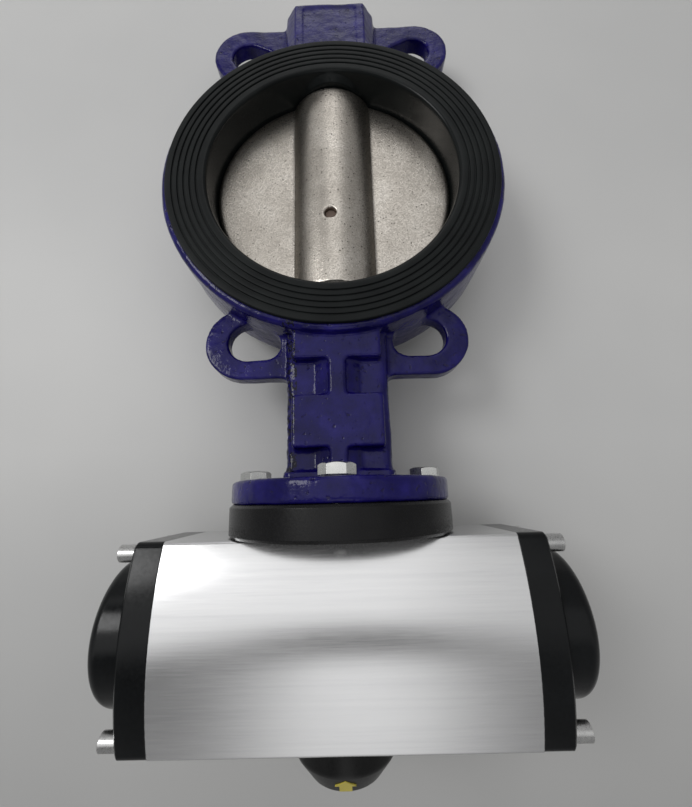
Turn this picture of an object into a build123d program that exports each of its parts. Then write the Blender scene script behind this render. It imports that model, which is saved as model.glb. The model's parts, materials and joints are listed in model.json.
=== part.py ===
from build123d import *
from math import acos, cos, pi, radians, sin, sqrt, tan
import os

# Pneumatically operated wafer butterfly valve.
# Frame: origin where the stem axis crosses the pipe axis, +Z along the pipe axis,
# +Y along the stem from the actuator toward the valve, X along the cylinder.
# All lengths in mm.

os.makedirs("parts", exist_ok=True)

# ---- valve ring and seat ----
ring_r = 114.5
ring_half_w = 25.4
ring_edge_fillet = 3.5
seat_cavity_r = 95.0
seat_r = 83.3
seat_face_r = 110.5
face_half_w = 28.2
seat_lip_fillet = 2.2
groove_radii = [89.6, 93.6, 97.6, 101.6, 105.6]
groove_w = 1.3
groove_depth = 1.0
seat_boss_r = 24.0
seat_boss_y = 79.4
seat_stem_hole_r = 11.4

# ---- disc ----
disc_r = 83.0
disc_half_t = 5.0
disc_rim_fillet = 3.0
disc_flat_y = 78.4
hub_crest_z = 19.5
hub_foot_half_w = 27.0
hub_foot_z = 6.0
stem_r = 11.0
pin_r = 4.0
pin_x = -2.0
pin_y = -27.0

# ---- ears, neck, far boss, flange ----
ear_half_t = 6.0
upper_ear = dict(outer=((-66, 132, 26), (-28, 130, 26)), hole=((-65, 131, 12.5), (-54, 128, 10), (-59, 114, 9)))
lower_ear = dict(outer=((-61, -113, 24), (-24, -113, 24)), hole=((-58, -112, 12.5), (-46, -114, 10)))
flange_y = -201.0
flange_t = 12.5
flange_r = 62.5
flange_edge_fillet = 2.0
ear_web_fillet = 6.0
neck_half_w = 31.5
neck_half_d = 11.0
neck_corner = 5.0
neck_tube_r = 17.5
neck_rib_half_w = 5.2
neck_pad_half_w = 27.0
neck_panel_z = 19.5
neck_panels_y = ((-129.0, -110.0), (-183.0, -151.5))
neck_panel_fillet = 2.0
boss_half_w = 34.5
boss_end_y = 169.0
boss_chamfer = 9.0
boss_chamfer_z = 8.0
boss_end_chamfer = 5.0
boss_half_d = 18.0
boss_panel = (42.0, 40.0, 0.8)

# ---- stem line ----
stem_top_y = 146.0
stem_square = 17.0
stem_square_start_y = -217.0
stem_end_y = -247.5
bush_r = 13.5
bush_running_gap = 0.05
neck_bush_y = (-190.0, -150.0)
gland_y = (-212.5, -203.0)
stem_ring_ys = [-199.5, -194.0]
stem_ring_minor = 1.3
end_bush_y = (104.0, 140.0)
plug_y = (156.0, 168.5)
stem_bore_r = 11.3

# ---- mounting hardware ----
flange_pcd = 102.0
bolt_hole_r = 5.5
bolt_thread_r = 5.0
bolt_shank_r = 4.95
bolt_flats = 16.0
bolt_head_h = 6.4
adapter_r = 63.5
adapter_t = 17.0
adapter_bore_r = 24.0
adapter_edge = 1.5
f07_pcd = 70.0
f07_thread_r = 4.0
f07_depth = 14.0

# ---- actuator ----
adapter_face_y = flange_y - flange_t
mount_face_y = adapter_face_y - adapter_t
body_h = 94.5
axis_y = mount_face_y - body_h / 2
top_face_y = mount_face_y - body_h
body_half_l = 89.6
body_edge_z = 31.0
body_ridge_z = 39.0
body_corner = 2.5
bore_r = 32.5
cap_t = 15.0
cap_corner = 4.0
dome_r = 36.5
dome_end_x = 121.0
dome_fillet = 5.5
dome_bore_r = 32.4
dome_wall = 4.0
cap_screw_y = 41.5
cap_screw_z = 25.5
cap_screw_r = 3.0
cap_head_r = 4.4
cap_head_l = 9.0
cap_screw_reach = 14.0
cap_seal_r = (33.6, 35.8)
cap_seal_depth = 1.6

# ---- rack and pinion ----
module = 1.5
tooth_count = 20
pressure_angle = radians(20)
backlash = 0.18
pitch_r = module * tooth_count / 2
tip_r = pitch_r + module
root_r = pitch_r - 1.25 * module
gear_half_w = 12.0
tooth_pitch = pi * module
drive_journal_r = 17.5
drive_bush_r = 20.0
top_journal_r = 11.0
top_bush_r = 13.5
journal_ring_depth = 2.4
cam_y = (axis_y + 14.5, axis_y + 19.5)
cam_hub_r = 15.5
cam_lobe_r = 23.5
stop_x = 20.0
stop_y = axis_y + 17.2
stop_tip_z = -0.6
stop_end_z = -46.0
stop_r = 3.95
stop_nut_flats = 13.0
stop_nut_t = 4.0
piston_r = 32.42
piston_inner_x = 42.0
piston_outer_x = 61.0
piston_ring_x = 47.0
piston_ring_minor = 1.35
piston_ring_groove_r = 29.4
guide_x = (53.0, 58.0)
guide_groove_r = 30.6
guide_outer_r = 32.45
rack_tip_x = -34.0
rack_back_z = 27.0
rack_root_z = pitch_r + 1.25 * module
rack_tip_z = pitch_r - module

# ---- air ports and top accessory pattern ----
port_pad = (56.0, 44.0, -41.5)
port_spacing = 24.0
port_r = 5.9
port_depth = 6.0
port_passage_r = 2.6
port_screw_x = 32.0
port_screw_y = 24.0
accessory_x = 80.0
accessory_z = 30.0
m5_r = 2.5

# ---- indicator ----
indicator_base_y = top_face_y - 1.2
indicator_r = 26.0
indicator_rim_y = indicator_base_y - 9.3
indicator_end_r = 17.5
indicator_end_y = top_face_y - 21.0
spigot_r = 9.0
spigot_end_y = top_face_y - 13.0
washer_r = 14.0
washer_t = 1.2
circlip_t = 1.2


def at_y(y):
    """Sketch plane square to the stem axis; a positive extrude runs toward -Y."""
    return Plane.XZ.offset(-y)


def at_x(x):
    """Sketch plane square to the cylinder axis; local x is +Y and local y is +Z."""
    return Plane.YZ.offset(x)


def round_bar(radius, y_high, y_low, mode=Mode.ADD):
    """Cylinder on the stem axis between two heights."""
    with BuildSketch(at_y(y_high)) as section:
        Circle(radius)
    extrude(section.sketch, amount=y_high - y_low, mode=mode)


def save(part, name):
    part.label = name
    export_step(part, "parts/" + name + ".step")


def save_tube(outer, inner, y_high, y_low, name):
    """Plain bush on the stem axis."""
    with BuildPart() as piece:
        with BuildSketch(at_y(y_high)):
            Circle(outer)
            Circle(inner, mode=Mode.SUBTRACT)
        extrude(amount=y_high - y_low)
    save(piece.part, name)


def hull_of(circles, side):
    """Hull of circles given as (x, y, r), mirrored for the other side."""
    with BuildSketch(mode=Mode.PRIVATE) as hull:
        for x, y, r in circles:
            with Locations((x * side, y)):
                Circle(r)
        make_hull()
    return hull.sketch


def actuator_outline(edge_z, ridge_z, height):
    """Section of the extrusion: flat ends and two bowed long sides."""
    half = height / 2
    with BuildLine() as outline:
        ThreePointArc((axis_y - half, edge_z), (axis_y, ridge_z), (axis_y + half, edge_z))
        Line((axis_y + half, edge_z), (axis_y + half, -edge_z))
        ThreePointArc((axis_y + half, -edge_z), (axis_y, -ridge_z), (axis_y - half, -edge_z))
        Line((axis_y - half, -edge_z), (axis_y - half, edge_z))
    make_face(outline.edges())


# ======================= valve body =======================
with BuildPart() as valve_body:
    # web at mid thickness: ears, a strip of the neck and of the far boss, joined by cast fillets
    with BuildSketch(Plane.XY.offset(-ear_half_t)) as web:
        with Locations((0, -130)):
            Rectangle(2 * neck_half_w - 2, 60)
        with Locations((0, 120)):
            Rectangle(2 * boss_half_w - 2, 2 * (163 - 120))
        for ear in (upper_ear, lower_ear):
            for side in (-1, 1):
                add(hull_of(ear["outer"], side))
        corners = web.vertices().filter_by(lambda v: abs(v.X) < boss_half_w and 135 < abs(v.Y) < 160)
        fillet(corners, ear_web_fillet)
        for ear in (upper_ear, lower_ear):
            for side in (-1, 1):
                add(hull_of(ear["hole"], side), mode=Mode.SUBTRACT)
    extrude(amount=2 * ear_half_t)
    with BuildSketch(Plane.XY.offset(-ring_half_w)):
        Circle(ring_r)
    ring = extrude(amount=2 * ring_half_w)
    fillet(ring.edges().filter_by(GeomType.CIRCLE), ring_edge_fillet)
    # neck: a flat web with the stem tube running through it
    with BuildSketch(at_y(-100)):
        RectangleRounded(2 * neck_half_w, 2 * neck_half_d, neck_corner)
        Circle(neck_tube_r)
    extrude(amount=-100 - flange_y + 1)
    with BuildSketch(at_y(flange_y + 5)):
        RectangleRounded(2 * neck_half_w + 3, 2 * neck_half_d + 6, neck_corner)
    extrude(amount=6)
    # cast panels on both faces of the neck: pad, rib, block, lower rib
    for face in (1, -1):
        with BuildSketch(Plane.XY) as panels:
            with Locations((0, (flange_y - 112) / 2)):
                Rectangle(2 * neck_rib_half_w, abs(flange_y + 112))
            for low, high in neck_panels_y:
                with Locations((0, (low + high) / 2)):
                    Rectangle(2 * neck_pad_half_w, high - low)
            fillet(panels.vertices().filter_by(lambda v: -195 < v.Y < -120), neck_panel_fillet)
        extrude(amount=face * neck_panel_z)
    # far boss: an octagonal block with a blank sunk panel on each face
    with BuildSketch(at_y(boss_end_y)) as boss_section:
        Rectangle(2 * boss_half_w, 2 * boss_half_d)
        chamfer(boss_section.vertices(), length=boss_chamfer, length2=boss_chamfer_z)
    far_boss = extrude(amount=boss_end_y - 90)
    end_edges = far_boss.faces().sort_by(Axis.Y)[-1].edges()
    chamfer(end_edges, boss_end_chamfer)
    for face in (1, -1):
        with BuildSketch(Plane.XY.offset(face * boss_half_d)):
            with Locations((0, boss_end_y - 7 - boss_panel[1] / 2)):
                RectangleRounded(boss_panel[0], boss_panel[1], 4)
        extrude(amount=-face * boss_panel[2], mode=Mode.SUBTRACT)
    # actuator flange
    with BuildSketch(at_y(flange_y)):
        Circle(flange_r)
    flange = extrude(amount=flange_t)
    fillet(flange.edges().filter_by(GeomType.CIRCLE), flange_edge_fillet)
    # machined cavities
    with BuildSketch(Plane.XY.offset(-ring_half_w - 1)):
        Circle(seat_cavity_r)
    extrude(amount=2 * ring_half_w + 2, mode=Mode.SUBTRACT)
    round_bar(stem_bore_r, boss_end_y, adapter_face_y, Mode.SUBTRACT)
    round_bar(bush_r, neck_bush_y[1], adapter_face_y, Mode.SUBTRACT)
    round_bar(bush_r, boss_end_y, end_bush_y[0], Mode.SUBTRACT)
    with BuildSketch(at_y(flange_y)):
        with PolarLocations(flange_pcd / 2, 4):
            Circle(bolt_hole_r)
    extrude(amount=flange_t, mode=Mode.SUBTRACT)
save(valve_body.part, "valve_body")

# ======================= rubber seat =======================
with BuildPart() as seat_liner:
    with BuildSketch(Plane.XZ):
        with Locations(((seat_r + seat_cavity_r) / 2, 0)):
            Rectangle(seat_cavity_r - seat_r, 2 * ring_half_w)
        for face in (1, -1):
            with Locations(((seat_r + seat_face_r) / 2, face * (face_half_w + ring_half_w) / 2)):
                Rectangle(seat_face_r - seat_r, face_half_w - ring_half_w)
            for radius in groove_radii:
                with Locations((radius, face * (face_half_w - groove_depth / 2))):
                    Rectangle(groove_w, groove_depth, mode=Mode.SUBTRACT)
    revolve(axis=Axis.Z)
    lips = seat_liner.edges().filter_by(GeomType.CIRCLE).filter_by(lambda e: abs(e.radius - seat_r) < 0.01)
    fillet(lips, seat_lip_fillet)
    for side in (1, -1):
        with BuildSketch(at_y(side * seat_boss_y)):
            Circle(seat_boss_r)
        extrude(amount=-side * (seat_cavity_r - 6 - seat_boss_y))
        with BuildSketch(at_y(side * (seat_boss_y - 1))):
            Circle(seat_stem_hole_r)
        extrude(amount=-side * 20, mode=Mode.SUBTRACT)
save(seat_liner.part, "seat_liner")

# ======================= disc =======================
with BuildPart() as disc:
    with BuildSketch(Plane.XY.offset(-disc_half_t)):
        Circle(disc_r)
    plate = extrude(amount=2 * disc_half_t)
    fillet(plate.edges().filter_by(GeomType.CIRCLE), disc_rim_fillet)
    with BuildSketch(at_y(disc_flat_y)):
        with BuildLine():
            ThreePointArc((-hub_foot_half_w, hub_foot_z), (0, hub_crest_z), (hub_foot_half_w, hub_foot_z))
            Line((hub_foot_half_w, hub_foot_z), (hub_foot_half_w, 0))
            Line((hub_foot_half_w, 0), (-hub_foot_half_w, 0))
            Line((-hub_foot_half_w, 0), (-hub_foot_half_w, hub_foot_z))
        make_face()
        mirror(about=Plane.XZ)
    extrude(amount=2 * disc_flat_y)
    with BuildSketch(Plane.XY.offset(-hub_crest_z - 5)):
        Circle(disc_r)
        Rectangle(2 * disc_r, 2 * disc_flat_y, mode=Mode.INTERSECT)
    extrude(amount=2 * hub_crest_z + 10, mode=Mode.INTERSECT)
    round_bar(stem_r + 0.02, disc_flat_y, -disc_flat_y, Mode.SUBTRACT)
    with BuildSketch(Plane.XY.offset(-hub_crest_z - 5)):
        with Locations((pin_x, pin_y)):
            Circle(pin_r)
    extrude(amount=2 * hub_crest_z + 10, mode=Mode.SUBTRACT)
save(disc.part, "disc")

# ======================= stem line =======================
with BuildPart() as stem:
    round_bar(stem_r, stem_top_y, stem_square_start_y)
    with BuildSketch(at_y(stem_square_start_y)):
        Rectangle(stem_square, stem_square)
        Circle(stem_r, mode=Mode.INTERSECT)
    extrude(amount=stem_square_start_y - stem_end_y)
    chamfer(stem.faces().sort_by(Axis.Y)[-1].edges(), 1.0)
    chamfer(stem.faces().sort_by(Axis.Y)[0].edges(), 0.8)
    with BuildSketch(Plane.XY.offset(-stem_r - 5)):
        with Locations((pin_x, pin_y)):
            Circle(pin_r)
    extrude(amount=2 * stem_r + 10, mode=Mode.SUBTRACT)
save(stem.part, "stem")

with BuildPart() as taper_pin:
    with BuildSketch(Plane.XY.offset(-hub_crest_z + 0.5)):
        with Locations((pin_x, pin_y)):
            Circle(pin_r - 0.05)
    extrude(amount=2 * hub_crest_z - 3.5)
    chamfer(taper_pin.edges().filter_by(GeomType.CIRCLE), 0.6)
save(taper_pin.part, "disc_taper_pin")

save_tube(bush_r, stem_r + bush_running_gap, neck_bush_y[1], neck_bush_y[0], "stem_bush_neck")
save_tube(bush_r, stem_r + bush_running_gap, end_bush_y[1], end_bush_y[0], "stem_bush_end")
save_tube(bush_r, stem_r + bush_running_gap, gland_y[1], gland_y[0], "stem_gland_bush")

with BuildPart() as stem_rings:
    for ring_y in stem_ring_ys:
        with BuildSketch(Plane.XY):
            with Locations((stem_r + 0.35 + stem_ring_minor - 0.2, ring_y)):
                Circle(stem_ring_minor - 0.25)
        revolve(axis=Axis.Y)
save(stem_rings.part, "stem_orings")

with BuildPart() as end_plug:
    round_bar(bush_r, plug_y[1], plug_y[0])
    with BuildSketch(at_y(plug_y[1])):
        RegularPolygon(10 / 2, 6, major_radius=False)
    extrude(amount=7, mode=Mode.SUBTRACT)
    chamfer(end_plug.edges().filter_by(GeomType.CIRCLE).sort_by(Axis.Y)[-1], 0.8)
save(end_plug.part, "stem_end_plug")

# ======================= flange bolts and adapter =======================
with BuildPart() as flange_bolts:
    for angle in range(0, 360, 90):
        x = flange_pcd / 2 * cos(radians(angle))
        z = flange_pcd / 2 * sin(radians(angle))
        with BuildSketch(at_y(flange_y + bolt_head_h)):
            with Locations((x, z)):
                RegularPolygon(bolt_flats / 2, 6, major_radius=False, rotation=30)
        extrude(amount=bolt_head_h)
        with BuildSketch(at_y(flange_y)):
            with Locations((x, z)):
                Circle(bolt_shank_r)
        extrude(amount=flange_t + adapter_t - 2)
save(flange_bolts.part, "flange_bolts")

with BuildPart() as adapter_ring:
    round_bar(adapter_r, adapter_face_y, mount_face_y)
    chamfer(adapter_ring.edges().filter_by(GeomType.CIRCLE), adapter_edge)
    round_bar(adapter_bore_r, adapter_face_y, mount_face_y, Mode.SUBTRACT)
    with BuildSketch(at_y(adapter_face_y)):
        with PolarLocations(flange_pcd / 2, 4):
            Circle(bolt_thread_r)
    extrude(amount=adapter_t, mode=Mode.SUBTRACT)
    with BuildSketch(at_y(adapter_face_y)):
        with PolarLocations(f07_pcd / 2, 4, start_angle=45):
            Circle(f07_thread_r + 0.4)
    extrude(amount=adapter_t, mode=Mode.SUBTRACT)
    with BuildSketch(at_y(adapter_face_y)):
        with PolarLocations(f07_pcd / 2, 4, start_angle=45):
            Circle(7.0)
    extrude(amount=9.0, mode=Mode.SUBTRACT)
save(adapter_ring.part, "adapter_ring")

with BuildPart() as adapter_screws:
    with BuildSketch(at_y(adapter_face_y - 1)):
        with PolarLocations(f07_pcd / 2, 4, start_angle=45):
            Circle(6.5)
            RegularPolygon(3.0, 6, major_radius=False, mode=Mode.SUBTRACT)
    extrude(amount=4)
    with BuildSketch(at_y(adapter_face_y - 5)):
        with PolarLocations(f07_pcd / 2, 4, start_angle=45):
            Circle(6.5)
    extrude(amount=4)
    with BuildSketch(at_y(adapter_face_y - 9)):
        with PolarLocations(f07_pcd / 2, 4, start_angle=45):
            Circle(f07_thread_r - 0.05)
    extrude(amount=adapter_t - 9 + f07_depth - 2)
save(adapter_screws.part, "adapter_screws")

# ======================= actuator body =======================
with BuildPart() as actuator_body:
    with BuildSketch(at_x(-body_half_l)):
        actuator_outline(body_edge_z, body_ridge_z, body_h)
    extrude(amount=2 * body_half_l)
    long_edges = actuator_body.edges().filter_by(Axis.X)
    fillet(long_edges, body_corner)
    with BuildSketch(Plane.XY.offset(port_pad[2])):
        with Locations((0, axis_y)):
            RectangleRounded(port_pad[0], port_pad[1], 3)
    extrude(amount=abs(port_pad[2]) - body_edge_z)
    with BuildSketch(at_x(-body_half_l)):
        with Locations((axis_y, 0)):
            Circle(bore_r)
    extrude(amount=2 * body_half_l, mode=Mode.SUBTRACT)
    # tapped holes for the end caps
    for end in (-1, 1):
        with BuildSketch(at_x(end * body_half_l)):
            with Locations((axis_y, 0)):
                with GridLocations(2 * cap_screw_y, 2 * cap_screw_z, 2, 2):
                    Circle(cap_screw_r)
        extrude(amount=-end * (cap_screw_reach + 3), mode=Mode.SUBTRACT)
    # pinion bores
    round_bar(drive_journal_r + 0.06, mount_face_y, axis_y, Mode.SUBTRACT)
    round_bar(drive_bush_r, mount_face_y - 5.5, axis_y, Mode.SUBTRACT)
    round_bar(top_journal_r + 0.06, axis_y, top_face_y, Mode.SUBTRACT)
    round_bar(top_bush_r, axis_y, top_face_y + 4.5, Mode.SUBTRACT)
    with BuildSketch(at_y(mount_face_y)):
        with PolarLocations(f07_pcd / 2, 4, start_angle=45):
            Circle(f07_thread_r)
    extrude(amount=f07_depth, mode=Mode.SUBTRACT)
    # accessory holes beside the indicator
    with BuildSketch(at_y(top_face_y)):
        with GridLocations(accessory_x, accessory_z, 2, 2):
            Circle(m5_r)
    extrude(amount=-8, mode=Mode.SUBTRACT)
    # air ports and solenoid screw holes
    with BuildSketch(Plane.XY.offset(port_pad[2])):
        with Locations((0, axis_y)):
            with GridLocations(port_spacing, 1, 2, 1):
                Circle(port_r)
    extrude(amount=port_depth, mode=Mode.SUBTRACT)
    with BuildSketch(Plane.XY.offset(port_pad[2])):
        with Locations((-port_spacing / 2, axis_y)):
            Circle(port_passage_r)
    extrude(amount=12, mode=Mode.SUBTRACT)
    with BuildSketch(Plane.XY.offset(port_pad[2])):
        with Locations((0, axis_y)):
            with GridLocations(port_screw_x, port_screw_y, 2, 2):
                Circle(m5_r)
    extrude(amount=8, mode=Mode.SUBTRACT)
    # travel stop holes
    with BuildSketch(Plane.XY.offset(port_pad[2] - 2)):
        with Locations((-stop_x, stop_y), (stop_x, stop_y)):
            Circle(stop_r + 0.05)
    extrude(amount=26, mode=Mode.SUBTRACT)
save(actuator_body.part, "actuator_body")

# ======================= end caps =======================
for end, side_name in ((-1, "left"), (1, "right")):
    inner_x = end * body_half_l
    with BuildPart() as end_cap:
        with BuildSketch(at_x(inner_x)):
            actuator_outline(body_edge_z, body_ridge_z, body_h)
        extrude(amount=end * cap_t)
        fillet(end_cap.edges().filter_by(Axis.X), cap_corner)
        rim = end_cap.faces().sort_by(Axis.X)[-1 if end > 0 else 0]
        chamfer(rim.edges(), 1.2)
        with BuildSketch(at_x(inner_x + end * (cap_t - 1))):
            with Locations((axis_y, 0)):
                Circle(dome_r)
        extrude(amount=end * (dome_end_x - body_half_l - cap_t + 1))
        tip = end_cap.edges().filter_by(GeomType.CIRCLE).sort_by(Axis.X)[-1 if end > 0 else 0]
        fillet(tip, dome_fillet)
        with BuildSketch(at_x(inner_x)):
            with Locations((axis_y, 0)):
                Circle(dome_bore_r)
        extrude(amount=end * (dome_end_x - dome_wall - body_half_l), mode=Mode.SUBTRACT)
        with BuildSketch(at_x(inner_x)):
            with Locations((axis_y, 0)):
                Circle(cap_seal_r[1])
                Circle(cap_seal_r[0], mode=Mode.SUBTRACT)
        extrude(amount=end * cap_seal_depth, mode=Mode.SUBTRACT)
        with BuildSketch(at_x(inner_x)):
            with Locations((axis_y, 0)):
                with GridLocations(2 * cap_screw_y, 2 * cap_screw_z, 2, 2):
                    Circle(cap_screw_r + 0.3)
        extrude(amount=end * cap_t, mode=Mode.SUBTRACT)
    save(end_cap.part, "end_cap_" + side_name)

    with BuildPart() as cap_seal:
        with BuildSketch(at_x(inner_x)):
            with Locations((axis_y, 0)):
                Circle(cap_seal_r[1])
                Circle(cap_seal_r[0], mode=Mode.SUBTRACT)
        extrude(amount=end * cap_seal_depth)
    save(cap_seal.part, "cap_seal_" + side_name)

    with BuildPart() as cap_screws:
        with BuildSketch(at_x(end * (body_half_l - cap_screw_reach))):
            with Locations((axis_y, 0)):
                with GridLocations(2 * cap_screw_y, 2 * cap_screw_z, 2, 2):
                    Circle(cap_screw_r - 0.05)
        extrude(amount=end * (cap_screw_reach + cap_t))
        with BuildSketch(at_x(end * (body_half_l + cap_t))):
            with Locations((axis_y, 0)):
                with GridLocations(2 * cap_screw_y, 2 * cap_screw_z, 2, 2):
                    Circle(cap_head_r)
        extrude(amount=end * cap_head_l)
        with BuildSketch(at_x(end * (body_half_l + cap_t + cap_head_l))):
            with Locations((axis_y, 0)):
                with GridLocations(2 * cap_screw_y, 2 * cap_screw_z, 2, 2):
                    RegularPolygon(2.5, 6, major_radius=False)
        extrude(amount=-end * 3.5, mode=Mode.SUBTRACT)
    save(cap_screws.part, "cap_screws_" + side_name)

# ======================= pistons with racks =======================
# The right piston carries its rack at +Z and the left piston at -Z.
flank = tan(pressure_angle)
tooth_half = tooth_pitch / 4 - backlash / 4
for end, side_name in ((-1, "left"), (1, "right")):
    with BuildPart() as piston:
        with BuildSketch(at_x(end * piston_inner_x)):
            with Locations((axis_y, 0)):
                Circle(piston_r)
        extrude(amount=end * (piston_outer_x - piston_inner_x))
        with BuildSketch(at_x(end * piston_outer_x)):
            with Locations((axis_y, 0)):
                Circle(24)
        extrude(amount=-end * 8, mode=Mode.SUBTRACT)
        for low, high, depth_r in (
            (piston_ring_x - 1.7, piston_ring_x + 1.7, piston_ring_groove_r),
            (guide_x[0], guide_x[1], guide_groove_r),
        ):
            with BuildSketch(at_x(end * low)):
                with Locations((axis_y, 0)):
                    Circle(piston_r + 1)
                    Circle(depth_r, mode=Mode.SUBTRACT)
            extrude(amount=end * (high - low), mode=Mode.SUBTRACT)
        arm_plane = at_y(axis_y + gear_half_w)
        with BuildSketch(arm_plane):
            with BuildLine():
                Polyline(
                    (end * piston_inner_x, end * rack_root_z),
                    (end * rack_tip_x, end * rack_root_z),
                    (end * rack_tip_x, end * rack_back_z),
                    (end * piston_inner_x, end * rack_back_z),
                    close=True,
                )
            make_face()
        extrude(amount=2 * gear_half_w)
        tooth_numbers = range(-6, 7)
        with BuildSketch(arm_plane):
            for number in tooth_numbers:
                middle = number * tooth_pitch
                tip_half = tooth_half - flank * module
                foot_half = tooth_half + flank * 1.25 * module
                with BuildLine():
                    Polyline(
                        (middle - foot_half, end * rack_root_z),
                        (middle - tip_half, end * (rack_tip_z + 0.1)),
                        (middle + tip_half, end * (rack_tip_z + 0.1)),
                        (middle + foot_half, end * rack_root_z),
                        close=True,
                    )
                make_face()
        extrude(amount=2 * gear_half_w)
    save(piston.part, "piston_" + side_name)

    with BuildPart() as piston_ring:
        with BuildSketch(Plane.XY):
            with Locations((end * piston_ring_x, axis_y + piston_ring_groove_r + piston_ring_minor)):
                Circle(piston_ring_minor)
        revolve(axis=Axis((0, axis_y, 0), (1, 0, 0)))
    save(piston_ring.part, "piston_oring_" + side_name)

    with BuildPart() as guide_band:
        with BuildSketch(at_x(end * guide_x[0])):
            with Locations((axis_y, 0)):
                Circle(guide_outer_r)
                Circle(guide_groove_r, mode=Mode.SUBTRACT)
        extrude(amount=end * (guide_x[1] - guide_x[0]))
    save(guide_band.part, "piston_guide_band_" + side_name)

# ======================= pinion =======================
base_r = pitch_r * cos(pressure_angle)
half_tooth_angle = (pi / 2 - backlash / (2 * module)) / tooth_count


def involute(angle):
    return tan(angle) - angle


def flank_point(radius, hand):
    """Point on one flank of the tooth that stands along local +x."""
    local = acos(min(1.0, base_r / radius))
    turn = half_tooth_angle + involute(pressure_angle) - involute(local)
    return (radius * cos(turn), hand * radius * sin(turn))


flank_radii = [base_r, base_r + 0.35, base_r + 0.9, base_r + 1.5, base_r + 2.0, tip_r - 0.02]
with BuildPart() as pinion:
    with BuildSketch(at_y(axis_y + gear_half_w)) as gear:
        Circle(root_r)
        with BuildSketch(mode=Mode.PRIVATE) as tooth:
            with BuildLine():
                upper = [flank_point(radius, 1) for radius in flank_radii]
                lower = [flank_point(radius, -1) for radius in flank_radii]
                Line((root_r - 0.5, upper[0][1]), upper[0])
                Spline(*upper)
                Line(upper[-1], lower[-1])
                Spline(*reversed(lower))
                Line(lower[0], (root_r - 0.5, lower[0][1]))
                Line((root_r - 0.5, lower[0][1]), (root_r - 0.5, upper[0][1]))
            make_face()
        with PolarLocations(0, tooth_count, start_angle=180 / tooth_count):
            add(tooth.sketch)
    extrude(amount=2 * gear_half_w)
    round_bar(root_r - 0.1, mount_face_y - 15, axis_y - 31)
    round_bar(drive_journal_r, mount_face_y - 0.6, mount_face_y - 15)
    round_bar(top_journal_r, axis_y - 31, top_face_y)
    round_bar(spigot_r, top_face_y, spigot_end_y)
    with BuildSketch(at_y(mount_face_y - 0.6)):
        Rectangle(stem_square + 0.16, stem_square + 0.16)
    extrude(amount=19, mode=Mode.SUBTRACT)
    with BuildSketch(at_y(spigot_end_y)):
        Circle(2.5)
    extrude(amount=-12, mode=Mode.SUBTRACT)
    # seal grooves
    with BuildSketch(at_y(mount_face_y - 1.6)):
        Circle(drive_journal_r + 1)
        Circle(drive_journal_r - journal_ring_depth, mode=Mode.SUBTRACT)
    extrude(amount=3.0, mode=Mode.SUBTRACT)
    with BuildSketch(at_y(top_face_y + 4.2)):
        Circle(top_journal_r + 1)
        Circle(top_journal_r - journal_ring_depth, mode=Mode.SUBTRACT)
    extrude(amount=3.0, mode=Mode.SUBTRACT)
    with BuildSketch(at_y(top_face_y - washer_t)):
        Circle(spigot_r + 1)
        Circle(spigot_r - 1.0, mode=Mode.SUBTRACT)
    extrude(amount=circlip_t, mode=Mode.SUBTRACT)
save(pinion.part, "pinion")

for name, radius, centre_y in (
    ("pinion_oring_drive", drive_journal_r, mount_face_y - 3.1),
    ("pinion_oring_top", top_journal_r, top_face_y + 2.7),
):
    with BuildPart() as journal_ring:
        with BuildSketch(Plane.XY):
            with Locations((radius - journal_ring_depth + 1.1, centre_y)):
                Circle(1.1)
        revolve(axis=Axis.Y)
    save(journal_ring.part, name)

save_tube(drive_bush_r, drive_journal_r + 0.05, mount_face_y - 5.5, mount_face_y - 14.5, "pinion_bush_drive")
save_tube(top_bush_r, top_journal_r + 0.05, top_face_y + 14.5, top_face_y + 4.5, "pinion_bush_top")
save_tube(washer_r, spigot_r + 0.05, top_face_y - 0.1, top_face_y - washer_t, "pinion_thrust_washer")

with BuildPart() as circlip:
    with BuildSketch(at_y(top_face_y - washer_t)):
        Circle(spigot_r + 1.8)
        Circle(spigot_r - 1.0, mode=Mode.SUBTRACT)
        with Locations((spigot_r, 0)):
            Rectangle(6, 4, mode=Mode.SUBTRACT)
    extrude(amount=circlip_t)
save(circlip.part, "pinion_circlip")

with BuildPart() as stop_cam:
    with BuildSketch(at_y(cam_y[1])):
        Circle(cam_hub_r)
        with BuildLine():
            Line((0, 0), (-cam_lobe_r, 0))
            RadiusArc((-cam_lobe_r, 0), (0, cam_lobe_r), cam_lobe_r)
            Line((0, cam_lobe_r), (0, 0))
        make_face()
        Circle(root_r - 0.1, mode=Mode.SUBTRACT)
    extrude(amount=cam_y[1] - cam_y[0])
save(stop_cam.part, "stop_cam")

with BuildPart() as stop_screws:
    with BuildSketch(Plane.XY.offset(stop_end_z)):
        with Locations((-stop_x, stop_y), (stop_x, stop_y)):
            Circle(stop_r)
    extrude(amount=stop_tip_z - stop_end_z)
save(stop_screws.part, "stop_screws")

with BuildPart() as stop_nuts:
    with BuildSketch(Plane.XY.offset(port_pad[2])):
        with Locations((-stop_x, stop_y), (stop_x, stop_y)):
            RegularPolygon(stop_nut_flats / 2, 6, major_radius=False)
            Circle(stop_r + 0.02, mode=Mode.SUBTRACT)
    extrude(amount=-stop_nut_t)
save(stop_nuts.part, "stop_nuts")

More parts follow.
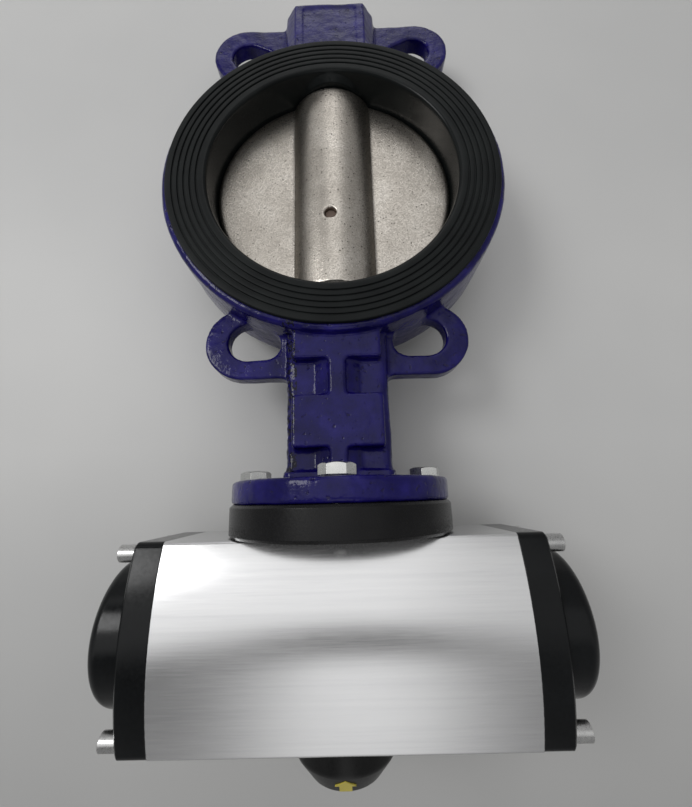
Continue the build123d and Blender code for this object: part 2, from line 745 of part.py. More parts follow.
# ======================= position indicator =======================
cone_slope = (indicator_r - indicator_end_r) / (indicator_rim_y - indicator_end_y)
cone_len = sqrt(1 + cone_slope**2)
arrow_y = (indicator_rim_y + indicator_end_y) / 2
arrow_z = (indicator_r + indicator_end_r) / 2
arrow_plane = Plane(
    origin=(0, arrow_y, arrow_z),
    x_dir=(1, 0, 0),
    z_dir=(0, -cone_slope / cone_len, 1 / cone_len),
)
arrow_outline = [
    (-3.0, -4.6),
    (3.0, -4.6),
    (3.0, 0.2),
    (5.0, 0.2),
    (0.0, 4.6),
    (-5.0, 0.2),
    (-3.0, 0.2),
]
with BuildPart() as indicator:
    with BuildSketch(Plane.XY):
        with BuildLine():
            Polyline(
                (0, indicator_base_y),
                (indicator_r, indicator_base_y),
                (indicator_r, indicator_rim_y),
                (indicator_end_r, indicator_end_y),
                (0, indicator_end_y),
                close=True,
            )
        make_face()
    revolve(axis=Axis.Y)
    round_bar(15.5, indicator_base_y, indicator_base_y - 2.8, Mode.SUBTRACT)
    round_bar(spigot_r + 0.02, indicator_base_y, spigot_end_y, Mode.SUBTRACT)
    round_bar(2.7, spigot_end_y, indicator_end_y, Mode.SUBTRACT)
    round_bar(6.0, indicator_end_y + 4.5, indicator_end_y, Mode.SUBTRACT)
    with BuildSketch(arrow_plane.offset(-1.6)):
        with BuildLine():
            Polyline(*arrow_outline, close=True)
        make_face()
    extrude(amount=4, mode=Mode.SUBTRACT)
save(indicator.part, "indicator")

with BuildPart() as indicator_arrow:
    with BuildSketch(arrow_plane.offset(-1.6)):
        with BuildLine():
            Polyline(*arrow_outline, close=True)
        make_face()
    extrude(amount=1.9)
save(indicator_arrow.part, "indicator_arrow")

with BuildPart() as indicator_screw:
    round_bar(4.6, indicator_end_y + 4.5, indicator_end_y + 0.8)
    round_bar(2.45, spigot_end_y + 9, indicator_end_y + 4.5)
    with BuildSketch(at_y(indicator_end_y + 0.8)):
        RegularPolygon(2.0, 6, major_radius=False)
    extrude(amount=-2.4, mode=Mode.SUBTRACT)
save(indicator_screw.part, "indicator_screw")
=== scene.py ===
import json
import math

import bmesh
import bpy
import numpy as np
from mathutils import Matrix, Vector, noise


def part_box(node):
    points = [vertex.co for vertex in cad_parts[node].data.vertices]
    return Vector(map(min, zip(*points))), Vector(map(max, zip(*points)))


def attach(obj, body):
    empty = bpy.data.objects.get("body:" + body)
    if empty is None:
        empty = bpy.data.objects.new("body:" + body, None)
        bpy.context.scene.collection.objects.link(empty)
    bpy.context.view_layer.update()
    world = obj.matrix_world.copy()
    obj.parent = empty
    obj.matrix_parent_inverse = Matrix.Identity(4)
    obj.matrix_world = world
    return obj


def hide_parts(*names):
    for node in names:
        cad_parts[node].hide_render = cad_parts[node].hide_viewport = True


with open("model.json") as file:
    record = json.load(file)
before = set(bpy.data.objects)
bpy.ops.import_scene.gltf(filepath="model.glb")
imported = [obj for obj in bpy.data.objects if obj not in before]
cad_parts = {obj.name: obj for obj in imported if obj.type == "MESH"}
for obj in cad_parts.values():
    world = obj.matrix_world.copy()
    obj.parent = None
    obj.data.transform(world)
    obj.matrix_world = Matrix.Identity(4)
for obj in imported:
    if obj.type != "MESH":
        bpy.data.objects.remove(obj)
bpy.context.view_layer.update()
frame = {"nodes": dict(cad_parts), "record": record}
nodes = frame["nodes"]

MM = 0.001


# ---------------------------------------------------------------- node helpers

def new_tree(name):
    """An empty material with its output and principled shader."""
    material = bpy.data.materials.new(name)
    material.use_nodes = True
    tree = material.node_tree
    tree.nodes.clear()
    out = tree.nodes.new("ShaderNodeOutputMaterial")
    shader = tree.nodes.new("ShaderNodeBsdfPrincipled")
    tree.links.new(shader.outputs[0], out.inputs[0])
    return material, tree, shader


def put(tree, kind, inputs=None, **settings):
    """Adds a node, sets its settings, and links or sets each named or numbered input."""
    node = tree.nodes.new("ShaderNode" + kind)
    for key, value in settings.items():
        setattr(node, key, value)
    for key, value in (inputs or {}).items():
        if isinstance(value, bpy.types.NodeSocket):
            tree.links.new(value, node.inputs[key])
        else:
            node.inputs[key].default_value = value
    return node


def math_node(tree, operation, a, b=0.0, clamp=False):
    return put(tree, "Math", {0: a, 1: b}, operation=operation, use_clamp=clamp).outputs[0]


def mm_coords(tree, stretch=(1, 1, 1)):
    """The row frame's coordinates in millimetres, fixed to the piece, times stretch."""
    where = put(tree, "TexCoord")
    scale = tuple(s / MM for s in stretch)
    return put(tree, "Mapping", {"Vector": where.outputs["Object"], "Scale": scale}).outputs[0]


def noise_value(tree, coords, per_mm, detail=3.0, rough=0.5, distortion=0.0):
    n = put(tree, "TexNoise", {"Vector": coords, "Scale": per_mm, "Detail": detail,
                               "Roughness": rough, "Distortion": distortion})
    return n.outputs[0]


def ramp(tree, value, stops, interpolation="LINEAR"):
    """A colour ramp from (position, grey or colour) stops."""
    node = put(tree, "ValToRGB", {0: value})
    node.color_ramp.interpolation = interpolation
    items = node.color_ramp.elements
    while len(items) < len(stops):
        items.new(0.5)
    for item, (position, colour) in zip(items, stops):
        item.position = position
        if isinstance(colour, (int, float)):
            colour = (colour,) * 3
        item.color = (*colour, 1)
    return node.outputs[0]


def mix_colour(tree, factor, a, b, mode="MIX"):
    node = put(tree, "Mix", data_type="RGBA", blend_type=mode)
    for index, value in ((0, factor), (6, a), (7, b)):
        if isinstance(value, bpy.types.NodeSocket):
            tree.links.new(value, node.inputs[index])
        else:
            node.inputs[index].default_value = (*value, 1) if isinstance(value, tuple) else value
    return node.outputs[2]


def bump(tree, height, depth_mm, normal=None):
    inputs = {"Height": height, "Distance": depth_mm * MM, "Strength": 1.0}
    if normal is not None:
        inputs["Normal"] = normal
    return put(tree, "Bump", inputs).outputs[0]


def bevel_normal(tree, radius_mm):
    return put(tree, "Bevel", {"Radius": radius_mm * MM}, samples=6).outputs[0]


def wire(tree, shader, **sockets):
    """Links or sets the shader's inputs by their plain names with _ for a space."""
    for key, value in sockets.items():
        socket = shader.inputs[key.replace("_", " ")]
        if isinstance(value, bpy.types.NodeSocket):
            tree.links.new(value, socket)
        else:
            socket.default_value = (*value, 1) if isinstance(value, tuple) and len(value) == 3 else value


# ---------------------------------------------------------------- materials

def near_left_edge(tree):
    """1 along the neck's left parting line, where the casting flash shows through, else 0."""
    where = put(tree, "SeparateXYZ", {0: put(tree, "TexCoord").outputs["Object"]})
    across = math_node(tree, "ABSOLUTE", math_node(tree, "ADD", where.outputs[0], 28.5 * MM))
    along = math_node(tree, "ABSOLUTE", math_node(tree, "ADD", where.outputs[1], 150 * MM))
    return math_node(tree, "MULTIPLY", math_node(tree, "LESS_THAN", across, 3.6 * MM),
                     math_node(tree, "LESS_THAN", along, 46 * MM))


def enamel():
    """Thick glossy blue-violet paint brushed over a rough sand casting."""
    material, tree, shader = new_tree("blue_enamel")
    mm = mm_coords(tree)
    lumps = noise_value(tree, mm, 0.13, 4.0, 0.5)
    peel = noise_value(tree, mm, 0.55, 2.0, 0.5)
    pits = ramp(tree, noise_value(tree, mm, 0.30, 2.0, 0.4),
                [(0.0, 0.0), (0.27, 0.0), (0.36, 1.0), (1.0, 1.0)])
    height = math_node(tree, "ADD", math_node(tree, "MULTIPLY", lumps, 0.9),
                       math_node(tree, "MULTIPLY", peel, 0.20))
    height = math_node(tree, "ADD", height, math_node(tree, "MULTIPLY", pits, 0.30))
    thin = noise_value(tree, mm, 0.06, 4.0, 0.6)
    colour = ramp(tree, thin, [(0.32, (0.0035, 0.0022, 0.055)), (0.55, (0.0075, 0.0050, 0.095)),
                               (0.74, (0.0170, 0.0125, 0.150))])
    # painted shade: inside the sunken pits the paint colour is mixed 70 percent toward a near-black blue
    colour = mix_colour(tree, math_node(tree, "MULTIPLY", math_node(tree, "SUBTRACT", 1.0, pits), 0.7),
                        colour, (0.005, 0.003, 0.03))
    flash = ramp(tree, noise_value(tree, mm, 0.42, 3.0, 0.6), [(0.47, 0.0), (0.56, 1.0)])
    colour = mix_colour(tree, math_node(tree, "MULTIPLY", flash, near_left_edge(tree)),
                        colour, (0.003, 0.0025, 0.012))
    rough = ramp(tree, peel, [(0.3, 0.09), (0.7, 0.20)])
    wire(tree, shader, Base_Color=colour, Roughness=rough, Normal=bump(tree, height, 0.5),
         Specular_IOR_Level=0.24)
    return material


def rubber():
    """Moulded black rubber, a little greenish where it catches the light."""
    material, tree, shader = new_tree("black_rubber")
    mm = mm_coords(tree)
    grain = noise_value(tree, mm, 1.6, 4.0, 0.6)
    wide = noise_value(tree, mm, 0.05, 3.0, 0.5)
    colour = ramp(tree, wide, [(0.3, (0.0040, 0.0052, 0.0056)), (0.7, (0.0085, 0.0105, 0.0105))])
    where = put(tree, "SeparateXYZ", {0: put(tree, "TexCoord").outputs["Object"]})
    flat = put(tree, "CombineXYZ", {0: where.outputs[0], 1: where.outputs[1]})
    radius = put(tree, "VectorMath", {0: flat.outputs[0]}, operation="LENGTH").outputs["Value"]
    face = put(tree, "MapRange", {0: radius, 1: 84.5 * MM, 2: 87.5 * MM, 3: 0.0, 4: 0.24}).outputs[0]
    rough = math_node(tree, "ADD", face, ramp(tree, grain, [(0.3, 0.20), (0.7, 0.28)]))
    wire(tree, shader, Base_Color=colour, Roughness=rough, Normal=bump(tree, grain, 0.015),
         Specular_IOR_Level=0.15)
    return material


def disc_metal():
    """Nickel-plated iron disc: warm pale grey, grainy, with small dark pits."""
    material, tree, shader = new_tree("plated_disc")
    mm = mm_coords(tree)
    grain = noise_value(tree, mm, 1.1, 5.0, 0.65)
    blotch = noise_value(tree, mm, 0.045, 4.0, 0.6)
    cells = put(tree, "TexVoronoi", {"Vector": mm, "Scale": 0.55, "Randomness": 1.0}, feature="F1")
    size = put(tree, "SeparateColor", {0: cells.outputs["Color"]}).outputs[0]
    edge = math_node(tree, "MULTIPLY", math_node(tree, "POWER", size, 4.0), 0.30)
    speck = math_node(tree, "LESS_THAN", cells.outputs["Distance"], edge)
    colour = ramp(tree, blotch, [(0.30, (0.50, 0.46, 0.41)), (0.55, (0.64, 0.595, 0.535)),
                                 (0.75, (0.74, 0.695, 0.635))])
    colour = mix_colour(tree, ramp(tree, grain, [(0.36, 0.70), (0.56, 0.0)]), colour, (0.26, 0.235, 0.21))
    colour = mix_colour(tree, math_node(tree, "MULTIPLY", speck, 0.85), colour, (0.045, 0.038, 0.032))
    height = math_node(tree, "SUBTRACT", grain, math_node(tree, "MULTIPLY", speck, 0.8))
    wire(tree, shader, Base_Color=colour, Metallic=1.0, Normal=bump(tree, height, 0.14),
         Roughness=ramp(tree, grain, [(0.3, 0.36), (0.7, 0.23)]))
    return material


def brushed_aluminium():
    """Extruded cylinder body, brushed along its length and clear anodised."""
    material, tree, shader = new_tree("brushed_aluminium")
    lines = mm_coords(tree, (0.02, 1.0, 1.0))
    fine = noise_value(tree, lines, 2.6, 4.0, 0.65)
    broad = noise_value(tree, lines, 0.35, 3.0, 0.5)
    cloud = noise_value(tree, mm_coords(tree), 0.03, 3.0, 0.5)
    shade = math_node(tree, "ADD", math_node(tree, "MULTIPLY", fine, 0.5),
                      math_node(tree, "MULTIPLY", broad, 0.5))
    colour = ramp(tree, shade, [(0.25, (0.66, 0.66, 0.67)), (0.5, (0.73, 0.73, 0.735)),
                                (0.8, (0.78, 0.78, 0.78))])
    rough = ramp(tree, math_node(tree, "ADD", math_node(tree, "MULTIPLY", fine, 0.6),
                                 math_node(tree, "MULTIPLY", cloud, 0.4)), [(0.3, 0.19), (0.7, 0.27)])
    normal = bump(tree, fine, 0.006, bump(tree, broad, 0.012, bevel_normal(tree, 0.5)))
    wire(tree, shader, Base_Color=colour, Metallic=1.0, Roughness=rough, Normal=normal)
    return material


def coated(name, low, high, rough, depth_mm, per_mm=0.9, metallic=0.0, gloss=0.5, edge_mm=0.6,
           stretch=(1, 1, 1)):
    """Paint, anodising, moulded plastic or turned metal: two shades, a fine grain and softened edges."""
    material, tree, shader = new_tree(name)
    mm = mm_coords(tree, stretch)
    grain = noise_value(tree, mm, per_mm, 4.0, 0.6)
    wide = noise_value(tree, mm, per_mm * 0.07, 3.0, 0.55)
    shade = math_node(tree, "ADD", math_node(tree, "MULTIPLY", grain, 0.35),
                      math_node(tree, "MULTIPLY", wide, 0.65))
    colour = ramp(tree, shade, [(0.35, low), (0.65, high)])
    roughness = ramp(tree, grain, [(0.3, rough[0]), (0.7, rough[1])])
    wire(tree, shader, Base_Color=colour, Metallic=metallic, Roughness=roughness,
         Normal=bump(tree, grain, depth_mm, bevel_normal(tree, edge_mm)), Specular_IOR_Level=gloss)
    return material


TURNED = (1.0, 6.0, 1.0)
COATED_LOOKS = {
    "stem_steel": dict(low=(0.42, 0.42, 0.42), high=(0.56, 0.56, 0.55), rough=(0.26, 0.36), depth_mm=0.01,
                       per_mm=0.6, metallic=1.0, edge_mm=0.3, stretch=TURNED),
    "bush_plastic": dict(low=(0.60, 0.58, 0.50), high=(0.70, 0.68, 0.61), rough=(0.42, 0.52), depth_mm=0.01,
                         per_mm=0.8),
    "seal_rubber": dict(low=(0.010, 0.010, 0.010), high=(0.020, 0.020, 0.020), rough=(0.40, 0.55),
                        depth_mm=0.01, per_mm=1.4),
    "plug_steel": dict(low=(0.10, 0.07, 0.055), high=(0.17, 0.13, 0.11), rough=(0.42, 0.58), depth_mm=0.04,
                       per_mm=1.0, metallic=0.8),
    "bolt_zinc": dict(low=(0.52, 0.53, 0.52), high=(0.74, 0.74, 0.72), rough=(0.24, 0.36), depth_mm=0.012,
                      per_mm=1.2, metallic=1.0, edge_mm=0.35),
    "adapter_black": dict(low=(0.0025, 0.0025, 0.003), high=(0.006, 0.006, 0.0065), rough=(0.20, 0.32),
                          depth_mm=0.012, gloss=0.24),
    "cap_black": dict(low=(0.0022, 0.0026, 0.003), high=(0.0050, 0.0058, 0.0065), rough=(0.14, 0.24),
                      depth_mm=0.012, per_mm=0.6, gloss=0.22, edge_mm=0.9),
    "screw_stainless": dict(low=(0.46, 0.46, 0.46), high=(0.62, 0.62, 0.61), rough=(0.24, 0.34),
                            depth_mm=0.01, per_mm=1.2, metallic=1.0, edge_mm=0.3),
    "piston_aluminium": dict(low=(0.50, 0.50, 0.51), high=(0.62, 0.62, 0.63), rough=(0.36, 0.46),
                             depth_mm=0.03, per_mm=0.8, metallic=1.0),
    "guide_plastic": dict(low=(0.50, 0.48, 0.42), high=(0.60, 0.58, 0.52), rough=(0.40, 0.50),
                          depth_mm=0.01, per_mm=1.0),
    "pinion_steel": dict(low=(0.34, 0.34, 0.35), high=(0.48, 0.48, 0.48), rough=(0.28, 0.38),
                         depth_mm=0.01, per_mm=0.8, metallic=1.0, edge_mm=0.3),
    "indicator_black": dict(low=(0.003, 0.003, 0.003), high=(0.007, 0.007, 0.007), rough=(0.26, 0.38),
                            depth_mm=0.02, per_mm=1.0, gloss=0.25, edge_mm=0.5),
    "arrow_yellow": dict(low=(0.42, 0.35, 0.045), high=(0.56, 0.47, 0.075), rough=(0.36, 0.48),
                         depth_mm=0.01, per_mm=1.4, edge_mm=0.1),
}
materials = {
    "body_enamel": enamel(),
    "seat_rubber": rubber(),
    "disc_plate": disc_metal(),
    "cylinder_aluminium": brushed_aluminium(),
}
for slot_name, look in COATED_LOOKS.items():
    materials[slot_name] = coated(slot_name, **look)

node_slot = {part["node"]: part["material_slot"] for part in frame["record"]["subparts"]}


def dress(obj, slot_name):
    """Gives obj one material, for all its slots."""
    obj.data.materials.clear()
    obj.data.materials.append(materials[slot_name])


def soften(obj, degrees=35.0):
    """Smooth shading that keeps the edges sharper than that angle."""
    obj.data.shade_smooth()
    obj.data.set_sharp_from_angle(angle=math.radians(degrees))


for node_name, node in nodes.items():
    dress(node, node_slot[node_name])
    soften(node)


# ---------------------------------------------------------------- mesh helpers

def to_object(name, mesh_or_bm, body, slot_name, stands_for, degrees):
    """A new piece on a CAD body, with its finish and the nodes it stands for."""
    if isinstance(mesh_or_bm, bmesh.types.BMesh):
        mesh = bpy.data.meshes.new(name)
        bmesh.ops.recalc_face_normals(mesh_or_bm, faces=mesh_or_bm.faces)
        mesh_or_bm.to_mesh(mesh)
        mesh_or_bm.free()
    else:
        mesh = mesh_or_bm
        mesh.name = name
    obj = bpy.data.objects.new(name, mesh)
    bpy.context.scene.collection.objects.link(obj)
    dress(obj, slot_name)
    soften(obj, degrees)
    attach(obj, body)
    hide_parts(*stands_for)


def baked_mesh(obj):
    """The object's mesh with its modifiers applied, as a new mesh."""
    graph = bpy.context.evaluated_depsgraph_get()
    return bpy.data.meshes.new_from_object(obj.evaluated_get(graph), depsgraph=graph)


def scratch_object(mesh):
    obj = bpy.data.objects.new("scratch", mesh)
    bpy.context.scene.collection.objects.link(obj)
    return obj


def recast(node_name, voxel_mm, passes):
    """A node's CAD mesh as an even skin of small faces, its edges worn by smoothing passes."""
    source = scratch_object(nodes[node_name].data.copy())
    remesh = source.modifiers.new("remesh", "REMESH")
    remesh.mode = "VOXEL"
    remesh.voxel_size = voxel_mm * MM
    smooth = source.modifiers.new("smooth", "SMOOTH")
    smooth.factor = 0.5
    smooth.iterations = passes
    mesh = baked_mesh(source)
    bpy.data.objects.remove(source)
    return mesh


def vertex_rows(mesh, attribute):
    """A vertex attribute of the mesh, one row of three for each vertex."""
    values = np.empty(len(mesh.vertices) * 3, np.float32)
    mesh.vertices.foreach_get(attribute, values)
    return values.reshape(-1, 3)


def rounded(corners, steps):
    """Points along a polyline whose corners (a, b, fillet) are rounded; its two ends stay sharp."""
    points = []
    last = len(corners) - 1
    for i, (a, b, r) in enumerate(corners):
        here = Vector((a, b))
        if r == 0 or i in (0, last):
            points.append((a, b))
            continue
        back = (Vector(corners[i - 1][:2]) - here).normalized()
        ahead = (Vector(corners[i + 1][:2]) - here).normalized()
        half = back.angle(ahead) / 2
        middle = here + (back + ahead).normalized() * (r / math.sin(half))
        start = here + back * (r / math.tan(half)) - middle
        end = here + ahead * (r / math.tan(half)) - middle
        for k in range(steps + 1):
            points.append(tuple(middle + start.slerp(end, k / steps) * r))
    return points


def lathe(profile, segments, place):
    """A turned ring from a closed profile of (radius, height) in mm; place maps its mm to the row frame."""
    bm = bmesh.new()
    rings = []
    for r, h in profile:
        ring = []
        for k in range(segments):
            angle = 2 * math.pi * k / segments
            ring.append(bm.verts.new(place(Vector((r * math.cos(angle), r * math.sin(angle), h))) * MM))
        rings.append(ring)
    for a, b in zip(rings, rings[1:] + rings[:1]):
        for k in range(segments):
            j = (k + 1) % segments
            bm.faces.new((a[k], a[j], b[j], b[k]))
    return bm


def along_z(v):
    """A lathe's own axes are the row frame's."""
    return v


def axis_place(origin, axis):
    """Maps a lathe's own Z to axis at origin."""
    turn = Vector((0, 0, 1)).rotation_difference(Vector(axis)).to_matrix()
    origin = Vector(origin)
    return lambda v: origin + turn @ v


# ---------------------------------------------------------------- painted casting

NECK_HALF_W = 31.5
NECK_SIDE_Y = (-198, -96)
FLASH_IN = 4.5
FLASH_OUT = 1.5
CASTING_VOXEL_MM = 1.05


def casting():
    """The valve body as a sand casting under paint: rounded edges, slight waves, a rough parting flash."""
    mesh = recast("valve_body", CASTING_VOXEL_MM, 4)
    co, normals = vertex_rows(mesh, "co"), vertex_rows(mesh, "normal")
    shift = np.empty(len(co))
    for i, p in enumerate(co / MM):
        wave = noise.noise(Vector(p) * 0.055) * 0.40 + noise.noise(Vector(p) * 0.18) * 0.14
        at_side = NECK_HALF_W - FLASH_IN < abs(p[0]) < NECK_HALF_W + FLASH_OUT
        if at_side and NECK_SIDE_Y[0] < p[1] < NECK_SIDE_Y[1] and abs(p[2]) > 2:
            wave += 0.55 * noise.noise(Vector(p) * 0.42) * (1.0 if p[0] < 0 else 0.25)
        shift[i] = wave - 0.10
    co += normals * (shift[:, None] * MM).astype(np.float32)
    mesh.vertices.foreach_set("co", co.ravel())
    mesh.update()
    to_object("valve_casting", mesh, "valve", "body_enamel", ["valve_body"], 180.0)


casting()


# ---------------------------------------------------------------- rubber liner

BORE_R = 83.3
FACE_Z = 28.2
RING_Z = 25.4
LINER_FACE_R = 110.5
CAVITY_R = 95.0
GROOVES = (89.6, 93.6, 97.6, 101.6, 105.6)
GROOVE_W = 1.3
GROOVE_DEPTH = 1.0
STEM_BOSS_R = 24.0
STEM_BOSS_Y = 79.4
BLEND_W = 2.4


def liner():
    """The moulded seat: ridged faces, rounded lips, flats where the stem passes (its holes aren't cut)."""
    face = [(BORE_R, 0.0, 0), (BORE_R, FACE_Z, 2.4)]
    half = GROOVE_W / 2
    for g in GROOVES:
        face += [(g - half - 0.05, FACE_Z, 0.45), (g - half + 0.2, FACE_Z - GROOVE_DEPTH, 0.25),
                 (g + half - 0.2, FACE_Z - GROOVE_DEPTH, 0.25), (g + half + 0.05, FACE_Z, 0.45)]
    face += [(LINER_FACE_R, FACE_Z, 0.9), (LINER_FACE_R, RING_Z, 0)]
    upper = rounded(face, 4)[1:]
    wall = [(BORE_R, z) for z in np.linspace(0, upper[0][1], 18)[:-1]]
    upper = wall + upper
    lower = [(r, -z) for r, z in reversed(upper[1:])]
    bm = lathe(upper + [(CAVITY_R, RING_Z), (CAVITY_R, -RING_Z)] + lower, 288, along_z)
    for v in bm.verts:
        x, y, z = v.co / MM
        if math.hypot(x, y) > BORE_R + 4 or abs(y) < STEM_BOSS_Y:
            continue
        t = min(1.0, max(0.0, (STEM_BOSS_R + BLEND_W / 2 - math.hypot(x, z)) / BLEND_W))
        t = t * t * (3 - 2 * t)
        flat = math.copysign(STEM_BOSS_Y, y)
        v.co.y = (y + (flat - y) * t) * MM
    to_object("rubber_liner", bm, "valve", "seat_rubber", ["seat_liner"], 60.0)


liner()


# ---------------------------------------------------------------- disc

DISC_VOXEL_MM = 0.8
DIMPLES = ((-2.5, 1.0, 1.7, 0.5), (-2.0, -8.0, 1.3, 0.4), (46.0, -14.0, 1.2, 0.35), (-2.0, -27.0, 5.2, 0.5))


def disc():
    """The plated disc: its cast skin, with a few shallow dimples (x, y, radius, depth) in the upper face."""
    mesh = recast("disc", DISC_VOXEL_MM, 6)
    co = vertex_rows(mesh, "co")
    for i, p in enumerate(co / MM):
        if p[2] > 4.0:
            for x, y, r, deep in DIMPLES:
                near = max(0.0, 1 - math.hypot(p[0] - x, p[1] - y) / r)
                co[i, 2] -= deep * near * near * (3 - 2 * near) * MM
    mesh.vertices.foreach_set("co", co.ravel())
    mesh.update()
    to_object("disc_casting", mesh, "rotor", "disc_plate", ["disc"], 180.0)


disc()


# ---------------------------------------------------------------- hex bolts

FLATS = 16.0
HEAD_H = 6.4
SHANK_R = 4.95
BOLT_CIRCLE_R = 51.0
FLANGE_FACE_Y = -201.0
BOLT_STEPS = 72
BOLT_PLACES = ((BOLT_CIRCLE_R, 0, 0.35), (-BOLT_CIRCLE_R, 0, 0.1), (0, BOLT_CIRCLE_R, 0.52),
               (0, -BOLT_CIRCLE_R, 0.2))


def hexagon(angle):
    """The hexagon's radius at that angle."""
    part = (angle + math.pi / 6) % (math.pi / 3) - math.pi / 6
    return FLATS / 2 / math.cos(part)


def chamfer_edge(angle):
    """The height where the 28 degree chamfer cuts the hexagon's side."""
    return HEAD_H - (hexagon(angle) - FLATS * 0.46) * math.tan(math.radians(28))


def bolt_rings(tip_h):
    """Radius and height of each ring from the thread's tip to the head's top, as numbers or by angle."""
    return [(SHANK_R - 1.0, tip_h), (SHANK_R, tip_h + 1.0), (SHANK_R, 0.0),
            (FLATS * 0.465, 0.0), (FLATS * 0.475, 0.5), (lambda angle: hexagon(angle) - 0.08, 0.55),
            (hexagon, 0.75), (hexagon, chamfer_edge), (FLATS * 0.46, HEAD_H),
            (FLATS * 0.40, HEAD_H), (FLATS * 0.36, HEAD_H - 0.3), (FLATS * 0.12, HEAD_H - 0.3)]


def hex_bolt_heads():
    """Four chamfered hexagon heads with washer faces, on their own threaded ends."""
    low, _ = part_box("flange_bolts")
    tip_h = low.y / MM - FLANGE_FACE_Y
    bm = bmesh.new()
    for x, z, turn in BOLT_PLACES:
        rings = []
        for radius, height in bolt_rings(tip_h):
            ring = []
            for k in range(BOLT_STEPS):
                angle = 2 * math.pi * k / BOLT_STEPS
                r = radius(angle) if callable(radius) else radius
                h = height(angle) if callable(height) else height
                ring.append(bm.verts.new(Vector((x + r * math.cos(angle + turn), FLANGE_FACE_Y + h,
                                                 z + r * math.sin(angle + turn))) * MM))
            rings.append(ring)
        for a, b in zip(rings, rings[1:]):
            for k in range(BOLT_STEPS):
                j = (k + 1) % BOLT_STEPS
                bm.faces.new((a[k], a[j], b[j], b[k]))
        bm.faces.new(rings[0])
        bm.faces.new(rings[-1])
    to_object("hex_bolts", bm, "valve", "bolt_zinc", ["flange_bolts"], 18.0)


hex_bolt_heads()


# ---------------------------------------------------------------- indicator

INDICATOR_BASE_Y = -326.2
RIM_R = 26.0
RIM_H = 9.3
END_R = 17.5
SPIGOT_R = 9.02
SPIGOT_H = 11.8
BASE_RECESS = (15.5, 2.8)
SCREW_POCKET = (6.0, 4.5)
SCREW_HOLE_R = 2.7


def indicator():
    """The moulded position indicator: a shallow drum that rolls over into a cone, with a screw pocket."""
    low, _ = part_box("indicator")
    height = INDICATOR_BASE_Y - low.y / MM
    floor_h = height - SCREW_POCKET[1]
    profile = rounded([(BASE_RECESS[0], 0.0, 0), (RIM_R - 0.8, 0.0, 0.3), (RIM_R, 1.2, 0.8),
                       (RIM_R, RIM_H, 5.0), (END_R, height, 4.2), (SCREW_POCKET[0], height, 0.4),
                       (SCREW_POCKET[0], floor_h, 0.2), (SCREW_HOLE_R, floor_h, 0),
                       (SCREW_HOLE_R, SPIGOT_H, 0), (SPIGOT_R, SPIGOT_H, 0),
                       (SPIGOT_R, BASE_RECESS[1], 0), (*BASE_RECESS, 0)], 6)
    bm = lathe(profile, 128, axis_place((0, INDICATOR_BASE_Y, 0), (0, -1, 0)))
    to_object("position_indicator", bm, "rotor", "indicator_black", ["indicator"], 60.0)


indicator()


# ---------------------------------------------------------------- camera, floor, light

CAMERA_LENS = 17.17
CAMERA_PLACE = (0.0068, -0.2107, 0.2367)
CAMERA_TURNS = ((-0.0264, "Z"), (0.0152, "Y"), (0.2377, "X"))

camera_data = bpy.data.cameras.new("camera")
camera_data.lens = CAMERA_LENS
camera_data.clip_start = 0.01
camera_data.clip_end = 20
camera = bpy.data.objects.new("camera", camera_data)
bpy.context.scene.collection.objects.link(camera)
first, second, third = (Matrix.Rotation(angle, 4, axis) for angle, axis in CAMERA_TURNS)
camera.matrix_world = Matrix.Translation(CAMERA_PLACE) @ (first @ second @ third)
bpy.context.scene.camera = camera

FLOOR_TILT = math.radians(5.93)
RING_FOOT = Vector((0, -0.2305, -0.0637))
FLOOR_HALF = 3.0


def floor():
    """A plain pale floor under the adapter ring, with painted shade that darkens it toward the actuator's
    end.
    """
    material, tree, shader = new_tree("pale_floor")
    mm = mm_coords(tree)
    cloud = noise_value(tree, mm, 0.004, 3.0, 0.5)
    colour = ramp(tree, cloud, [(0.35, (0.555, 0.555, 0.55)), (0.65, (0.60, 0.598, 0.59))])
    depth = put(tree, "SeparateXYZ", {0: mm}).outputs[1]
    # painted shade: near scales the floor's colour from 0.62 at the actuator's end up to 1.0, in place of the
    # light's falloff
    near = put(tree, "MapRange", {0: depth, 1: -260.0, 2: 60.0, 3: 0.62, 4: 1.0}).outputs[0]
    colour = mix_colour(tree, 1.0, colour, near, "MULTIPLY")
    wire(tree, shader, Base_Color=colour, Roughness=0.45, Specular_IOR_Level=0.3)
    mesh = bpy.data.meshes.new("floor")
    corners = [(x * FLOOR_HALF, y * FLOOR_HALF, 0) for x, y in ((-1, -1), (1, -1), (1, 1), (-1, 1))]
    mesh.from_pydata(corners, [], [(0, 1, 2, 3)])
    obj = bpy.data.objects.new("floor", mesh)
    bpy.context.scene.collection.objects.link(obj)
    mesh.materials.append(material)
    obj.matrix_world = Matrix.Translation(RING_FOOT) @ Matrix.Rotation(FLOOR_TILT, 4, "X")


floor()


# brightness behind, then (degrees from the pipe axis toward the far boss, brightness)
SKY_MIDDLE = (0.30, ((-100, 0.45), (-62, 0.85), (-26, 1.00), (-21, 0.40), (-17, 0.04), (-13, 0.06),
                     (-6, 1.05), (34, 1.05), (42, 1.20), (56, 1.10), (62, 1.70), (68, 1.70),
                     (73, 0.60), (120, 0.35)))
SKY_LEFT = (0.30, ((-100, 0.32), (-62, 0.26), (-28, 0.20), (-21, 0.14), (-16, 0.20), (-12, 0.55), (-4, 1.05),
                   (29, 1.00), (38, 0.16), (56, 0.12), (62, 0.90), (68, 0.90), (73, 0.40), (120, 0.35)))
SKY_RIGHT = (0.28, ((-100, 0.28), (-62, 0.26), (-28, 0.26), (-21, 0.28), (-16, 0.34), (-11, 0.48), (-4, 0.66),
                    (30, 0.66), (40, 0.34), (75, 0.30), (120, 0.30)))
SKY_LIFT = math.radians(46)


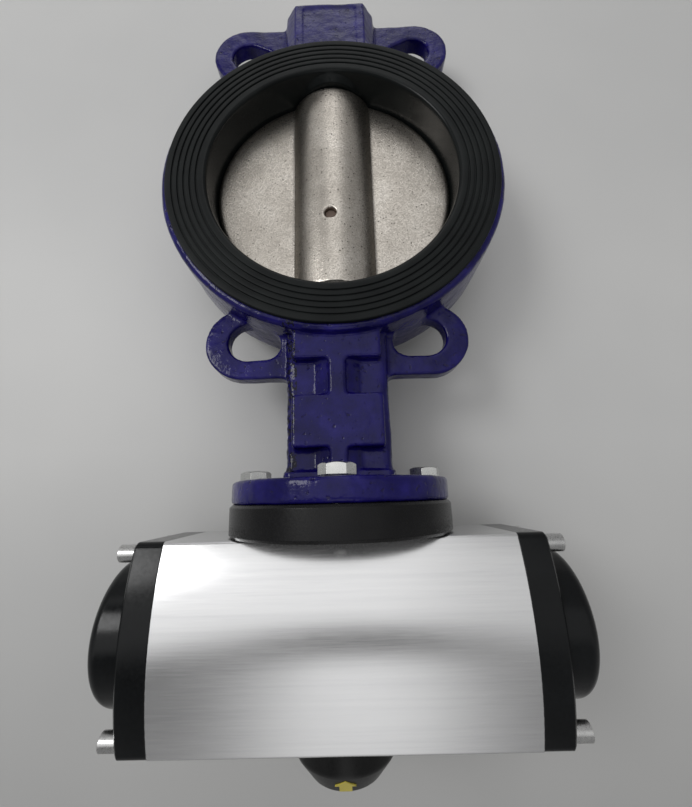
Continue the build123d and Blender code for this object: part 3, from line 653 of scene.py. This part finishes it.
def sky_stops(behind, levels):
    """Ramp stops over the full turn, from -180 to 180 degrees."""
    return [(0.0, behind)] + [((degrees + 180) / 360, level) for degrees, level in levels] + [(1.0, behind)]


def studio():
    """A soft room: brightness by direction, measured in the plane that the stem and the pipe axis share."""
    world = bpy.data.worlds.new("studio")
    bpy.context.scene.world = world
    world.use_nodes = True
    tree = world.node_tree
    background = tree.nodes["Background"]
    direction = put(tree, "TexCoord").outputs["Generated"]
    parts = put(tree, "SeparateXYZ", {0: direction})
    side = math_node(tree, "ABSOLUTE", parts.outputs[0])
    angle = math_node(tree, "ARCTAN2", parts.outputs[1], parts.outputs[2])
    lift = math_node(tree, "MULTIPLY", math_node(tree, "POWER", side, 2.0), SKY_LIFT)
    lifted = math_node(tree, "ADD", angle, lift)
    share = put(tree, "MapRange", {0: lifted, 1: -math.pi, 2: math.pi, 3: 0.0, 4: 1.0}).outputs[0]

    middle, left, right = (ramp(tree, share, sky_stops(*sky)) for sky in (SKY_MIDDLE, SKY_LEFT, SKY_RIGHT))
    turned = put(tree, "MapRange", {0: parts.outputs[0], 1: -0.1, 2: 0.1, 3: 0.0, 4: 1.0}).outputs[0]
    flank = mix_colour(tree, turned, left, right)
    level = mix_colour(tree, ramp(tree, side, [(0.06, 0.0), (0.34, 1.0)], "EASE"), middle, flank)
    level = mix_colour(tree, ramp(tree, side, [(0.55, 0.0), (0.90, 1.0)]), level, (0.36, 0.36, 0.36))
    tree.links.new(level, background.inputs[0])
    background.inputs[1].default_value = 1.0


studio()


KEY_PLACE = Vector((-1.2, 0.35, 1.5))
KEY_AIM = Vector((0.0, -0.1, 0.0))


def key_light():
    """One soft round lamp, high on the left."""
    data = bpy.data.lights.new("key", "AREA")
    data.shape = "DISK"
    data.size = 0.8
    data.energy = 11.0
    obj = bpy.data.objects.new("key", data)
    bpy.context.scene.collection.objects.link(obj)
    obj.location = KEY_PLACE
    obj.rotation_euler = (KEY_AIM - KEY_PLACE).to_track_quat("-Z", "Y").to_euler()


key_light()

bpy.context.scene.view_settings.view_transform = "Standard"
